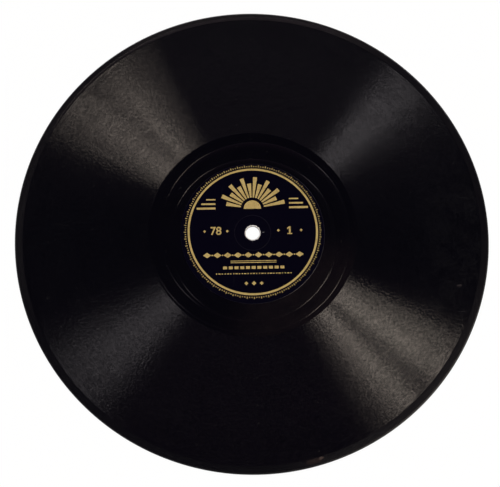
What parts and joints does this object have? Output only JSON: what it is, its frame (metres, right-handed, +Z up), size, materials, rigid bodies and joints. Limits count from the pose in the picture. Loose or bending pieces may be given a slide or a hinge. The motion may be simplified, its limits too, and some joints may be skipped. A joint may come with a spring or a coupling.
{
  "type": "shellac record",
  "caption": "Black grooved shellac gramophone disc with a small spindle hole, a round dark paper label on each side, a lead-out spiral and an off-centre stopping groove.",
  "frame": {"origin": "on the spindle axis, on the surface that the lower side rests on", "axes": "+Z up along the spindle hole, +X to the right of the top label as it is read, +Y to its top"},
  "size_m": [0.25, 0.25, 0.0022],
  "materials": {
    "core_compound": "coarse mineral-filled shellac, brown-black, polished at the rim",
    "facing_compound": "fine black shellac pressed to a gloss, grooved",
    "backing_paper": "plain brown kraft paper, saturated with shellac",
    "label_paper": "blue-black printed paper, pressed smooth, gold print"
  },
  "bodies": {
    "root": {"core": "core_compound", "top_backing_paper": "backing_paper", "bottom_backing_paper": "backing_paper", "top_facing": "facing_compound", "bottom_facing": "facing_compound", "top_label": "label_paper", "bottom_label": "label_paper"}
  },
  "joints": []
}
